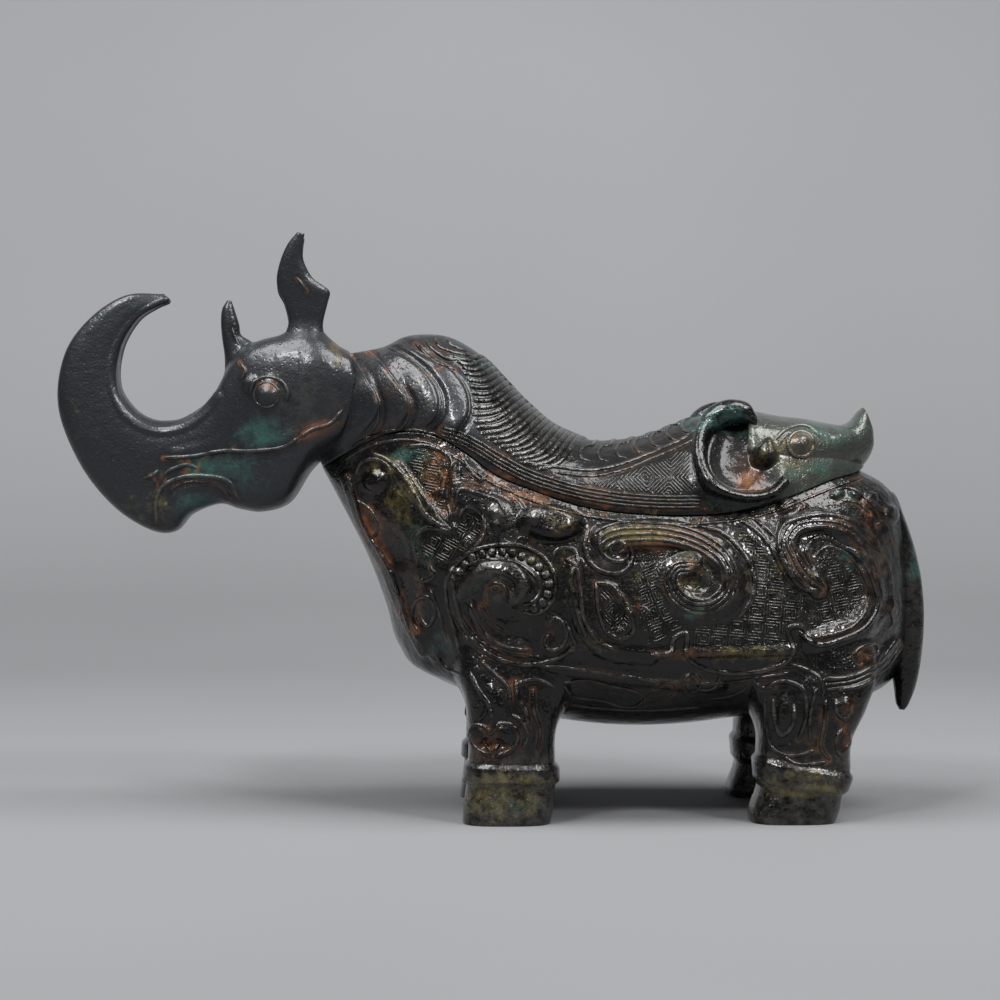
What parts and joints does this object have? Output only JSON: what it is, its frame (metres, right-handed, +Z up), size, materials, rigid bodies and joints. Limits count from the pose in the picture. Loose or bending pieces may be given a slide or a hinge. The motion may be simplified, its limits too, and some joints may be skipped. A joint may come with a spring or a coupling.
{
  "type": "rhinoceros-shaped lidded vessel",
  "caption": "Hollow bronze pouring vessel in the form of a standing rhinoceros, with a lift-off lid that carries the head, nose horn, mane and rear mask.",
  "frame": {"origin": "on the floor, under the middle of the whole animal", "axes": "+Z up; the animal faces -X and its left side is towards -Y"},
  "size_m": [0.2995, 0.1006, 0.1982],
  "materials": {
    "dark_bronze": "near-black waxed bronze patina with brown rust in the grooves",
    "green_bronze": "blue-grey satin bronze with teal-green patina patches"
  },
  "bodies": {
    "vessel": {"vessel_body": "dark_bronze", "front_left_leg": "dark_bronze", "front_right_leg": "dark_bronze", "rear_left_leg": "dark_bronze", "rear_right_leg": "dark_bronze", "tail": "dark_bronze"},
    "lid": {"lid_shell": "dark_bronze", "left_locating_strip": "dark_bronze", "right_locating_strip": "dark_bronze", "rhino_head": "green_bronze", "brow_horn": "green_bronze", "left_ear": "dark_bronze", "right_ear": "dark_bronze", "rear_mask": "green_bronze", "mask_left_ear": "green_bronze", "mask_right_ear": "green_bronze"}
  },
  "joints": [
    {"name": "lid_lift", "type": "slide", "parent": "vessel", "child": "lid", "axis": [0, 0, 1], "range_m": [0, 0.06]}
  ]
}
